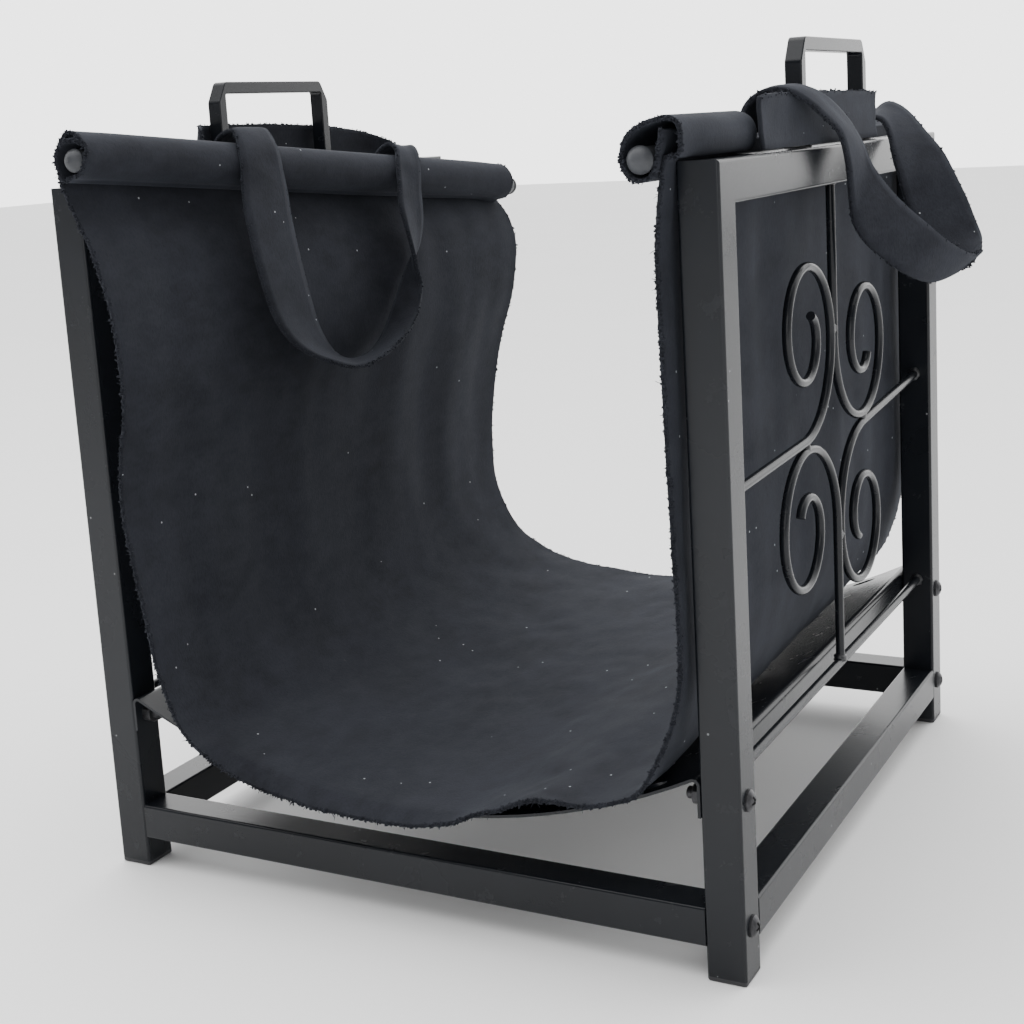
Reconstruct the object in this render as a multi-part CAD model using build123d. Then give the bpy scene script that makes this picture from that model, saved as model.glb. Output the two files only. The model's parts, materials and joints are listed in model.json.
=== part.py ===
"""Firewood log rack: two welded side panels with scroll work, cross rails, a sheet cradle
and a lift-out suede carrier on two rods.

Frame: millimetres, +Z up, +X to the right, +Y to the rear.
Origin: centre of the footprint, on the floor.
"""
from build123d import *
import math
import os

# ---- driving dimensions ----
WIDTH = 380.0            # outside, across the two side panels
DEPTH = 380.0            # outside, front to rear
HEIGHT = 385.0           # floor to the top of the top rails
TUBE = 20.0              # square tube, outside
TUBE_WALL = 1.2
TUBE_CORNER = 1.6
RAIL_BOTTOM = 17.0       # underside of the four lower rails

# ---- places worked out from them ----
LEG_X = (WIDTH - TUBE) / 2
LEG_Y = (DEPTH - TUBE) / 2
INNER_X = WIDTH / 2 - TUBE
INNER_Y = DEPTH / 2 - TUBE
RAIL_Z = RAIL_BOTTOM + TUBE / 2
TOP_RAIL_Z = HEIGHT - TUBE / 2
BORE = TUBE - 2 * TUBE_WALL

# ---- feet ----
CAP_FLANGE = 2.5
CAP_PLUG_HEIGHT = 10.0
CAP_PLUG_GAP = 0.15
CAP_PLUG_WALL = 1.6
CAP_EDGE_R = 1.2
PLUG_CORNER_R = 1.0
PLUG_HOLLOW_CORNER_R = 0.6

# ---- fasteners (M6) ----
SCREW_R = 3.0
SCREW_HOLE_R = 3.2
THREAD_GAP = 0.05
HEAD_R = 5.3
HEAD_HEIGHT = 3.4
HEAD_DOME_R = 7.0
RECESS_WIDTH = 1.3
RECESS_LENGTH = 5.4
RECESS_DEPTH = 1.9
RECESS_TURN = 20.0       # degrees
SCREW_TIP_CHAMFER = 0.6
RAIL_SCREW_LENGTH = 34.0
TRAY_SCREW_LENGTH = 30.0
TRAY_SCREW_Z = 90.0
NUT_ACROSS_FLATS = 10.0
NUT_HEIGHT = 5.0
NUT_CORNER_R = 5.6       # the corners are turned off to this radius
NUT_CHAMFER = 0.7
INSERT_LENGTH = 16.0
INSERT_GAP = 0.1

# ---- cradle tray ----
TRAY_SHEET = 1.5
TRAY_RADIUS = 370.0      # centre of the sheet
TRAY_LOW_Z = 61.0        # centre of the sheet, at the middle of the sag
TRAY_BEND_R = 2.6
TRAY_FLANGE_BOTTOM = 82.0

# ---- steel carry handles ----
HANDLE_WIDTH = 9.0       # across the rail
HANDLE_BAR = 7.0         # thickness of the bow
HANDLE_TOP = 439.5
HANDLE_HALF_FOOT = 56.8
HANDLE_SHOULDER = (7.0, 12.0)  # how far each outer corner is sloped: along and down
HANDLE_SHOULDER_R = 4.0
HANDLE_CORNER_R = 1.5
HANDLE_EDGE_R = 0.7

# ---- scroll work ----
ROD = 5.0
CROSS_ROD_Z = 98.0
SCROLL_Z = 231.0
SCROLL_GAP = 0.1         # the arms are joined by weld where they nearly touch
SCROLL_RADII = (50.0, 40.0, 32.0, 27.0, 20.0)
SCROLL_TIP_RADIUS = 14.0
SCROLL_TIP_ANGLE = 65.0
# The arms are bent by hand. For each turn: how much further in the spiral sits, how much
# higher the arm starts, and its tilt in degrees about its start.
SCROLL_HAND_BENDS = ((5.2, 0.0, 0.0), (1.3, 0.0, 1.5), (3.0, 0.0, 0.0), (3.7, 3.0, 4.0))

# ---- carrier rods ----
HEM_ROD_R = 5.8
HEM_ROD_WALL = 1.2
HEM_ROD_HALF = 204.5
HEM_CAP_R = 6.2
HEM_CAP_FLANGE = 1.4
HEM_CAP_DOME = 4.2
HEM_CAP_PLUG = 8.0
HEM_CAP_GAP = 0.1
RIGHT_ROD_START = Vector(160.5, -HEM_ROD_HALF, 386.6)
RIGHT_ROD_END = Vector(160.5, HEM_ROD_HALF, 386.6)
LEFT_ROD_START = Vector(-156.0, -HEM_ROD_HALF, 399.0)
LEFT_ROD_END = Vector(-124.0, HEM_ROD_HALF, 361.0)

# ---- suede carrier ----
SUEDE = 2.0
SLING_HALF_DEPTH = 202.5
SLING_RIGHT_X = 164.6    # centre of the sheet, above the lower corner
SLING_LEFT_X = -152.0
SLING_CORNER_R = 45.0
SLING_LIFT = 1.0         # the sheet's underside above the tray
SLEEVE_BORE_R = 6.1
RIGHT_SLEEVE_R = 8.0
LEFT_ROLL_R = 12.4
LEFT_ROLL_SHIFT = Vector(-4.0, 0.0, 3.0)
FOLD_X = (167.0, 183.0)
FOLD_Y = (-SLING_HALF_DEPTH, -117.0)
FOLD_Z = (385.7, 403.0)
FOLD_ROUND = 5.0
BAND_BOTTOM = 386.0
BAND_TOP = 411.0
BAND_X = 186.0           # centre of the band outside the handle
BAND_BEND_R = 12.0
STRAP_WIDTH = 32.0
STRAP_THICKNESS = 4.0
LEFT_STRAP_X = -121.5
LEFT_STRAP_TOP = 400.0
RIGHT_STRAP_TOP = Vector(192.0, 0.0, 404.0)
RIGHT_STRAP_TILT = 23.8  # degrees out from straight down
STRAP_BEND_R = 22.0

SIDES = {"left": -1, "right": 1}
ENDS = {"front": -1, "rear": 1}


def rounded_square_tube(length):
    """A hollow square tube standing on the XY plane."""
    bore = RectangleRounded(BORE, BORE, TUBE_CORNER - TUBE_WALL)
    return extrude(RectangleRounded(TUBE, TUBE, TUBE_CORNER) - bore, amount=length)


def along_x(shape):
    """Turn a shape that stands on the XY plane so that it runs along +X."""
    return Rot(0, 90, 0) * shape


def along_y(shape):
    """Turn a shape that stands on the XY plane so that it runs along +Y."""
    return Rot(-90, 0, 0) * shape


def mitre_plane(end):
    """The 45 degree plane at a panel's top corner, its normal on the rail's side."""
    return Plane(origin=(0, end * DEPTH / 2, HEIGHT), z_dir=(0, -end, 1))


def cross_hole(x, y, z):
    """A round clearance hole through one tube, along X."""
    return Pos(x - TUBE, y, z) * along_x(Cylinder(SCREW_HOLE_R, 4 * TUBE))


def leg(side, end):
    x = side * LEG_X
    y = end * LEG_Y
    tube = Pos(x, y, CAP_FLANGE) * rounded_square_tube(HEIGHT - CAP_FLANGE)
    tube = split(tube, bisect_by=mitre_plane(end), keep=Keep.BOTTOM)
    return tube - cross_hole(x, y, RAIL_Z) - cross_hole(x, y, TRAY_SCREW_Z)


def top_rail(side):
    rail = Pos(side * LEG_X, -DEPTH / 2, TOP_RAIL_Z) * along_y(rounded_square_tube(DEPTH))
    for end in ENDS.values():
        rail = split(rail, bisect_by=mitre_plane(end), keep=Keep.TOP)
    return rail


def side_rail(side):
    return Pos(side * LEG_X, -INNER_Y, RAIL_Z) * along_y(rounded_square_tube(2 * INNER_Y))


def cross_rail(end):
    return Pos(-INNER_X, end * LEG_Y, RAIL_Z) * along_x(rounded_square_tube(2 * INNER_X))


def foot_cap(side, end):
    """A plastic cap: a rounded flange under the leg and a hollow plug inside it."""
    flange = extrude(RectangleRounded(TUBE, TUBE, TUBE_CORNER), amount=CAP_FLANGE)
    flange = fillet(flange.edges().group_by(Axis.Z)[0], CAP_EDGE_R)
    plug_side = BORE - 2 * CAP_PLUG_GAP
    hollow_side = plug_side - 2 * CAP_PLUG_WALL
    plug = RectangleRounded(plug_side, plug_side, PLUG_CORNER_R)
    hollow = RectangleRounded(hollow_side, hollow_side, PLUG_HOLLOW_CORNER_R)
    plug = Pos(0, 0, CAP_FLANGE) * extrude(plug - hollow, amount=CAP_PLUG_HEIGHT)
    return Pos(side * LEG_X, end * LEG_Y, 0) * (flange + plug)


def pan_screw(length):
    """A cross-recess pan screw: shank down -Z from the origin, domed head above it."""
    sphere_z = HEAD_HEIGHT - HEAD_DOME_R
    head = Cylinder(HEAD_R, HEAD_HEIGHT, align=(Align.CENTER, Align.CENTER, Align.MIN))
    head = head & Pos(0, 0, sphere_z) * Sphere(HEAD_DOME_R)
    shank = Pos(0, 0, -length) * Cylinder(SCREW_R, length, align=(Align.CENTER, Align.CENTER, Align.MIN))
    screw = head + chamfer(shank.edges().group_by(Axis.Z)[0], SCREW_TIP_CHAMFER)
    slot = Box(RECESS_LENGTH, RECESS_WIDTH, 2 * RECESS_DEPTH)
    for angle in (0, 90):
        screw = screw - Pos(0, 0, HEAD_HEIGHT) * Rot(0, 0, angle + RECESS_TURN) * slot
    return screw


def place_outside(side, y, z, shape, x=WIDTH / 2):
    """Put a shape whose +Z is its outward end on a side panel's outer face."""
    return Pos(side * x, y, z) * Rot(0, side * 90, 0) * shape


def screws(length, z):
    return [
        place_outside(side, end * LEG_Y, z, pan_screw(length))
        for side in SIDES.values()
        for end in ENDS.values()
    ]


def hex_nut():
    nut = extrude(RegularPolygon(NUT_ACROSS_FLATS / 2, 6, major_radius=False), amount=NUT_HEIGHT)
    corner_cut = Cylinder(NUT_CORNER_R, NUT_HEIGHT, align=(Align.CENTER, Align.CENTER, Align.MIN))
    corner_cut = chamfer(corner_cut.edges().group_by(Axis.Z)[0], NUT_CHAMFER)
    hole = Cylinder(SCREW_R + THREAD_GAP, 3 * NUT_HEIGHT)
    return (nut & corner_cut) - hole


def tray_nuts():
    x = INNER_X - TRAY_SHEET - NUT_HEIGHT
    return [
        place_outside(side, end * LEG_Y, TRAY_SCREW_Z, hex_nut(), x)
        for side in SIDES.values()
        for end in ENDS.values()
    ]


def rail_end_inserts():
    """Threaded plugs welded inside the ends of the front and rear rails."""
    size = BORE - 2 * INSERT_GAP
    plug = extrude(RectangleRounded(size, size, PLUG_CORNER_R), amount=INSERT_LENGTH)
    plug = plug - Cylinder(SCREW_R + THREAD_GAP, 4 * INSERT_LENGTH)
    x = INNER_X - INSERT_LENGTH
    return [
        place_outside(side, end * LEG_Y, RAIL_Z, plug, x)
        for side in SIDES.values()
        for end in ENDS.values()
    ]


def tray_path():
    """Centre line of the tray in (x, z): flange, bend, sag, bend, flange."""
    flange_x = INNER_X - TRAY_SHEET / 2
    bend_x = flange_x - TRAY_BEND_R
    centre_z = TRAY_LOW_Z + TRAY_RADIUS
    angle = math.asin(bend_x / (TRAY_RADIUS + TRAY_BEND_R))
    bend_z = centre_z - (TRAY_RADIUS + TRAY_BEND_R) * math.cos(angle)
    end_x = TRAY_RADIUS * math.sin(angle)
    end_z = centre_z - TRAY_RADIUS * math.cos(angle)
    crown = math.radians(90) - (math.radians(90) - angle) / 2
    crown_x = bend_x + TRAY_BEND_R * math.sin(crown - angle)
    crown_z = bend_z + TRAY_BEND_R * math.cos(crown - angle)
    return Wire([
        Line((flange_x, TRAY_FLANGE_BOTTOM), (flange_x, bend_z)),
        ThreePointArc((flange_x, bend_z), (crown_x, crown_z), (end_x, end_z)),
        ThreePointArc((end_x, end_z), (0, TRAY_LOW_Z), (-end_x, end_z)),
        ThreePointArc((-end_x, end_z), (-crown_x, crown_z), (-flange_x, bend_z)),
        Line((-flange_x, bend_z), (-flange_x, TRAY_FLANGE_BOTTOM)),
    ])


def cradle_tray():
    section = Plane.XZ * trace(tray_path(), TRAY_SHEET)
    tray = extrude(section, amount=DEPTH / 2, both=True)
    for side in SIDES.values():
        for end in ENDS.values():
            tray = tray - cross_hole(side * INNER_X, end * LEG_Y, TRAY_SCREW_Z)
    return tray


def carry_handle(side):
    """A flat bar bow standing on the top rail: sloped shoulders outside, a square opening inside."""
    foot = HANDLE_HALF_FOOT
    along, down = HANDLE_SHOULDER
    half = [(foot, HEIGHT), (foot, HANDLE_TOP - down), (foot - along, HANDLE_TOP)]
    outline = Polygon(*half, *[(-y, z) for y, z in reversed(half)], align=None)
    outline = fillet(outline.vertices().group_by(Axis.Y)[1:], HANDLE_SHOULDER_R)
    opening_top = HANDLE_TOP - HANDLE_BAR
    opening = Rectangle(2 * (foot - HANDLE_BAR), 2 * (opening_top - HEIGHT))
    opening = fillet(opening.vertices(), HANDLE_CORNER_R)
    plane = Plane(origin=(side * LEG_X, 0, 0), x_dir=(0, 1, 0), z_dir=(1, 0, 0))
    bow = extrude(plane * (outline - Pos(0, HEIGHT) * opening), amount=HANDLE_WIDTH / 2, both=True)
    rims = bow.faces().sort_by(Axis.X)
    return fillet(rims[0].edges() + rims[-1].edges(), HANDLE_EDGE_R)


def scroll_arm(side, turn, reach):
    """One arm of the pinwheel: straight in from its frame member, then a closing spiral.

    turn is the number of quarter turns from the top arm, seen from outside the panel.
    """
    further_in, lift, tilt = SCROLL_HAND_BENDS[turn]
    start_v = SCROLL_RADII[0] + ROD + SCROLL_GAP - further_in
    pieces = [Line((0, reach), (0, start_v))]
    turns = [(radius, 90.0) for radius in SCROLL_RADII] + [(SCROLL_TIP_RADIUS, SCROLL_TIP_ANGLE)]
    for radius, angle in turns:
        last = pieces[-1]
        pieces.append(JernArc(start=last @ 1, tangent=last % 1, radius=radius, arc_size=angle))
    path = Rot(0, 0, 90 * turn) * Wire(pieces)
    start = path @ 0
    path = Pos(start.X, start.Y + lift) * Rot(0, 0, tilt) * Pos(-start.X, -start.Y) * path
    outside = Plane(origin=(side * LEG_X, 0, SCROLL_Z), x_dir=(0, side, 0), z_dir=(side, 0, 0))
    path = outside * path
    section = Plane(origin=path @ 0, z_dir=path % 0) * Circle(ROD / 2)
    return sweep(section, path=path)


def scroll_arms():
    """Four arms a side, named by the frame member that each one starts from."""
    reaches = {
        "top": HEIGHT - TUBE - SCROLL_Z,
        "front": INNER_Y,
        "bottom": SCROLL_Z - CROSS_ROD_Z - ROD / 2 - SCROLL_GAP,
        "rear": INNER_Y,
    }
    turns = {"right": ("top", "front", "bottom", "rear"), "left": ("top", "rear", "bottom", "front")}
    arms = {}
    for name, side in SIDES.items():
        for turn, member in enumerate(turns[name]):
            arms[f"{name}_scroll_{member}_arm"] = scroll_arm(side, turn, reaches[member])
    return arms


def cross_rod(side):
    rod = extrude(Circle(ROD / 2), amount=2 * INNER_Y)
    return Pos(side * LEG_X, -INNER_Y, CROSS_ROD_Z) * along_y(rod)


def bar_between(start, end, section):
    """Extrude a section from one point to another."""
    direction = end - start
    return extrude(Plane(origin=start, z_dir=direction) * section, amount=direction.length)


def hem_rod(start, end):
    tube = Circle(HEM_ROD_R) - Circle(HEM_ROD_R - HEM_ROD_WALL)
    return bar_between(start, end, tube)


def rod_cap():
    """A push-in cap standing on the XY plane: plug below, flange and dome above."""
    plug_r = HEM_ROD_R - HEM_ROD_WALL - HEM_CAP_GAP
    plug = Cylinder(plug_r, HEM_CAP_PLUG, align=(Align.CENTER, Align.CENTER, Align.MAX))
    flange = Cylinder(HEM_CAP_R, HEM_CAP_FLANGE, align=(Align.CENTER, Align.CENTER, Align.MIN))
    sphere_r = (HEM_CAP_R**2 + HEM_CAP_DOME**2) / (2 * HEM_CAP_DOME)
    dome = Pos(0, 0, HEM_CAP_FLANGE + HEM_CAP_DOME - sphere_r) * Sphere(sphere_r)
    keep = Pos(0, 0, HEM_CAP_FLANGE) * Cylinder(
        HEM_CAP_R, HEM_CAP_DOME, align=(Align.CENTER, Align.CENTER, Align.MIN)
    )
    return plug + flange + (dome & keep)


def rod_caps(start, end):
    direction = end - start
    return [
        Plane(origin=end, z_dir=direction) * rod_cap(),
        Plane(origin=start, z_dir=-direction) * rod_cap(),
    ]


def wall_corner(wall_x, sag_radius, centre_z):
    """Where the arc from a wall into the sag starts, bulges and ends, for a wall at wall_x."""
    centre_x = wall_x - SLING_CORNER_R
    reach = sag_radius - SLING_CORNER_R
    angle = math.asin(centre_x / reach)
    z = centre_z - reach * math.cos(angle)
    middle = (math.radians(90) - angle) / 2
    bulge = (
        centre_x + SLING_CORNER_R * math.cos(middle),
        z - SLING_CORNER_R * math.sin(middle),
    )
    end = (sag_radius * math.sin(angle), centre_z - sag_radius * math.cos(angle))
    return (wall_x, z), bulge, end


def sling_path(left_top, right_top):
    """Centre line of the hung sheet in (x, z), from the right rod down and up to the left one."""
    sag_radius = TRAY_RADIUS - TRAY_SHEET / 2 - SLING_LIFT - SUEDE / 2
    centre_z = TRAY_LOW_Z + TRAY_RADIUS
    right = wall_corner(SLING_RIGHT_X, sag_radius, centre_z)
    left = [(-x, z) for x, z in wall_corner(-SLING_LEFT_X, sag_radius, centre_z)]
    return Wire([
        Line(right_top, right[0]),
        ThreePointArc(*right),
        ThreePointArc(right[2], (0, centre_z - sag_radius), left[2]),
        ThreePointArc(left[2], left[1], left[0]),
        Line(left[0], left_top),
    ])


def rod_point(start, end, y):
    """The point of a rod's centre line at the given depth."""
    return start + (end - start) * ((y - start.Y) / (end.Y - start.Y))


def sling_section(y):
    left_rod = rod_point(LEFT_ROD_START, LEFT_ROD_END, y)
    right_rod = rod_point(RIGHT_ROD_START, RIGHT_ROD_END, y)
    left_top = (left_rod.X - SLEEVE_BORE_R - SUEDE, left_rod.Z)
    right_top = (right_rod.X + SLEEVE_BORE_R + SUEDE / 2, right_rod.Z)
    strip = trace(sling_path(left_top, right_top), SUEDE)
    return Plane(origin=(0, y, 0), x_dir=(1, 0, 0), z_dir=(0, -1, 0)) * strip


def suede_sling():
    """The hung sheet with the roll round each rod and the fold that lies on the right rail."""
    ends = (-SLING_HALF_DEPTH, SLING_HALF_DEPTH)
    sheet = loft([sling_section(y) for y in ends], ruled=True)
    left = [rod_point(LEFT_ROD_START, LEFT_ROD_END, y) for y in ends]
    right = [rod_point(RIGHT_ROD_START, RIGHT_ROD_END, y) for y in ends]
    roll = bar_between(left[0] + LEFT_ROLL_SHIFT, left[1] + LEFT_ROLL_SHIFT, Circle(LEFT_ROLL_R))
    sleeve = bar_between(right[0], right[1], Circle(RIGHT_SLEEVE_R))
    sling = sheet + roll + sleeve
    fold_size = [high - low for low, high in (FOLD_X, FOLD_Y, FOLD_Z)]
    fold = fillet(Box(*fold_size).edges().filter_by(Axis.Y), FOLD_ROUND)
    sling = sling + Pos(sum(FOLD_X) / 2, sum(FOLD_Y) / 2, sum(FOLD_Z) / 2) * fold
    for start, stop in ((LEFT_ROD_START, LEFT_ROD_END), (RIGHT_ROD_START, RIGHT_ROD_END)):
        sling = sling - bar_between(start, stop, Circle(SLEEVE_BORE_R))
    return sling


def band(points):
    """A strip on edge: its plan path raised from the band's bottom to its top."""
    path = FilletPolyline(*points, radius=BAND_BEND_R)
    return Pos(0, 0, BAND_BOTTOM) * extrude(trace(path, SUEDE), amount=BAND_TOP - BAND_BOTTOM)


def right_band():
    return band([(172.0, -112.0), (BAND_X, -84.0), (BAND_X, 82.0), (172.0, 110.0)])


def left_band():
    return band([(-166.5, -100.0), (-BAND_X, -76.0), (-BAND_X, 84.0), (-152.0, 120.0)])


def strap(plane, points, top):
    """A flat loop of strap in a plane, its path given in that plane, cut off level with its top."""
    path = FilletPolyline(*points, radius=STRAP_BEND_R)
    loop = extrude(plane * trace(path, STRAP_WIDTH), amount=STRAP_THICKNESS / 2, both=True)
    return split(loop, bisect_by=top, keep=Keep.BOTTOM)


def left_strap():
    plane = Plane(origin=(LEFT_STRAP_X, 0, 0), x_dir=(0, 1, 0), z_dir=(1, 0, 0))
    points = [(-96, 410), (-82, 318), (-45, 281), (22, 281), (60, 318), (66, 410)]
    return strap(plane, points, Plane(origin=(LEFT_STRAP_X, 0, LEFT_STRAP_TOP)))


def right_strap():
    tilt = math.radians(RIGHT_STRAP_TILT)
    down = (math.sin(tilt), 0, -math.cos(tilt))
    outward = (-math.cos(tilt), 0, -math.sin(tilt))
    plane = Plane(origin=RIGHT_STRAP_TOP, x_dir=down, z_dir=outward)
    points = [(-12, 102), (38, 78), (80, 22), (88, -48), (58, -92), (-12, -68)]
    return strap(plane, points, Plane(origin=RIGHT_STRAP_TOP, z_dir=(-down[0], 0, -down[2])))


def build():
    """Every sub-part by node name: one solid, or a list of identical ones."""
    parts = {}
    for side_name, side in SIDES.items():
        for end_name, end in ENDS.items():
            parts[f"{side_name}_{end_name}_leg"] = leg(side, end)
            parts[f"{side_name}_{end_name}_foot_cap"] = foot_cap(side, end)
        parts[f"{side_name}_top_rail"] = top_rail(side)
        parts[f"{side_name}_side_rail"] = side_rail(side)
        parts[f"{side_name}_steel_handle"] = carry_handle(side)
        parts[f"{side_name}_cross_rod"] = cross_rod(side)
    for end_name, end in ENDS.items():
        parts[f"{end_name}_rail"] = cross_rail(end)
    parts.update(scroll_arms())
    parts["cradle_tray"] = cradle_tray()
    parts["rail_screws"] = screws(RAIL_SCREW_LENGTH, RAIL_Z)
    parts["tray_screws"] = screws(TRAY_SCREW_LENGTH, TRAY_SCREW_Z)
    parts["tray_nuts"] = tray_nuts()
    parts["rail_end_inserts"] = rail_end_inserts()
    parts["left_hem_rod"] = hem_rod(LEFT_ROD_START, LEFT_ROD_END)
    parts["right_hem_rod"] = hem_rod(RIGHT_ROD_START, RIGHT_ROD_END)
    parts["left_rod_caps"] = rod_caps(LEFT_ROD_START, LEFT_ROD_END)
    parts["right_rod_caps"] = rod_caps(RIGHT_ROD_START, RIGHT_ROD_END)
    parts["suede_sling"] = suede_sling()
    parts["left_handle_band"] = left_band()
    parts["right_handle_band"] = right_band()
    parts["left_carry_strap"] = left_strap()
    parts["right_carry_strap"] = right_strap()
    return parts


def main():
    os.makedirs("parts", exist_ok=True)
    for name, shape in build().items():
        if isinstance(shape, list):
            shape = Compound(children=shape)
        export_step(shape, f"parts/{name}.step")


main()
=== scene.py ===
"""Looks of the firewood log rack: painted steel, welds, hung suede carrier, camera and light."""
import json
import math
import random

import bpy
import numpy as np
from mathutils import Matrix, Vector, noise


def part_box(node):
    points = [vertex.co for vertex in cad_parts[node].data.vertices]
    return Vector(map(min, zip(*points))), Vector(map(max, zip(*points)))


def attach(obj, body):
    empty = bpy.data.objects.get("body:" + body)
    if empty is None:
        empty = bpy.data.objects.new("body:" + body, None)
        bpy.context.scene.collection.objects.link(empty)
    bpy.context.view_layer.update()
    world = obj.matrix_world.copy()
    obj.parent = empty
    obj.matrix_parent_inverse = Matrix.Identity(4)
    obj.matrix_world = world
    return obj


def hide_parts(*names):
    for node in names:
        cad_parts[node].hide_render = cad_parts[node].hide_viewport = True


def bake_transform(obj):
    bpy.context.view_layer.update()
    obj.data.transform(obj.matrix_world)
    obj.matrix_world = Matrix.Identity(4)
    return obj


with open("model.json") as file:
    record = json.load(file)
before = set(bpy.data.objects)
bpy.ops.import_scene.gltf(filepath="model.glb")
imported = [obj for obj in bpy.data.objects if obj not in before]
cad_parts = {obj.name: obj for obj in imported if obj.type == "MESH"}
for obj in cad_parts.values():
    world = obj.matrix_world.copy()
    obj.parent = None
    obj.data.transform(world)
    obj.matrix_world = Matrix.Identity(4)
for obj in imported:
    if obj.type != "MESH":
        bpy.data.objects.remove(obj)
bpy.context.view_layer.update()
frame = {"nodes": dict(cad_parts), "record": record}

MM = 0.001
random.seed(7)

# ---- places from the frame, in millimetres ----


def box_mm(node):
    """A CAD node's lowest and highest corners."""
    low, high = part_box(node)
    return np.array(low) / MM, np.array(high) / MM


SCROLL_ROD_R = 2.5
HEM_ROD_R = 5.8
PANEL_X = box_mm("right_cross_rod")[0][0] + SCROLL_ROD_R
CROSS_ROD_Z = box_mm("right_cross_rod")[0][2] + SCROLL_ROD_R
SCROLL_Z = CROSS_ROD_Z + 133.0    # middle of the scroll work
LEG_INNER_Y = box_mm("right_cross_rod")[1][1]
RAIL_UNDER_Z = box_mm("right_top_rail")[0][2]
RAIL_TOP_Z = box_mm("right_top_rail")[1][2]
RAIL_INNER_X = box_mm("right_top_rail")[0][0]
TRAY_HALF_DEPTH = box_mm("cradle_tray")[1][1]
TRAY_HALF_WIDTH = 168.0
TRAY_RADIUS = 369.2               # of the tray's upper face
TRAY_CENTRE_Z = 431.0

# ---- suede sizes, in millimetres ----
SUEDE = 2.0                       # thickness of the sling and bands
STRAP_THICKNESS = 2.6
SLING_HALF = 202.5                # half the sling's width, along Y
LEFT_ROLL_R = 11.6
LEFT_ROLL_SHIFT = (-4.0, 3.4)     # of the roll's middle from the rod's
SLEEVE_R = 7.6                    # of the sleeve round the right rod
FOLD_START = 117.0                # depth from which the right hem is folded over the rail
SPLINE_STEPS = 8                  # of the sling's cross sections, on each span
ROLL_STEPS = 17 * SPLINE_STEPS    # from the roll's inner end to the top of the left wall
RIBBON_POINTS = 9                 # across a strap or band

# ---- small helpers ----


def smoothstep(value, low, high):
    t = min(max((value - low) / (high - low), 0.0), 1.0)
    return t * t * (3 - 2 * t)


def spline(points, steps):
    """A Catmull-Rom curve through the points, with the given number of steps on each span."""
    points = np.array(points, float)
    padded = np.vstack([2 * points[0] - points[1], points, 2 * points[-1] - points[-2]])
    curve = []
    for i in range(len(points) - 1):
        p0, p1, p2, p3 = padded[i:i + 4]
        for k in range(steps):
            t = k / steps
            curve.append(0.5 * (
                2 * p1 + (p2 - p0) * t
                + (2 * p0 - 5 * p1 + 4 * p2 - p3) * t * t
                + (3 * p1 - p0 - 3 * p2 + p3) * t * t * t
            ))
    curve.append(points[-1])
    return np.array(curve)


def wave(x, y, z, seed=0.0):
    """Smooth noise between about -1 and 1; each seed reads another part of it."""
    return noise.noise(Vector((x + seed * 17.3, y - seed * 5.1, z + seed * 9.7)))


def mesh_piece(name, vertices, faces, material):
    """A smooth-shaded object in the scene, from points in millimetres."""
    mesh = bpy.data.meshes.new(name)
    mesh.from_pydata([tuple(np.array(v) * MM) for v in vertices], [], faces)
    mesh.update()
    for face in mesh.polygons:
        face.use_smooth = True
    piece = bpy.data.objects.new(name, mesh)
    bpy.context.scene.collection.objects.link(piece)
    mesh.materials.append(material)
    return piece


def grid_faces(rows, columns, closed=False):
    """Four-sided faces between rows of points; closed joins each row's end to its start."""
    faces = []
    for r in range(rows - 1):
        near, far = r * columns, (r + 1) * columns
        for c in range(columns if closed else columns - 1):
            d = (c + 1) % columns
            faces.append((near + c, near + d, far + d, far + c))
    return faces


def thicken(piece, thickness):
    """Give a sheet its thickness, half to each side."""
    solid = piece.modifiers.new("thickness", "SOLIDIFY")
    solid.thickness = thickness * MM
    solid.offset = 0


# ---- materials ----


# The colour sockets of a Mix node, which share their names with its other sockets.
MIX_BASE, MIX_COLOR, MIX_RESULT = 6, 7, 2


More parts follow.
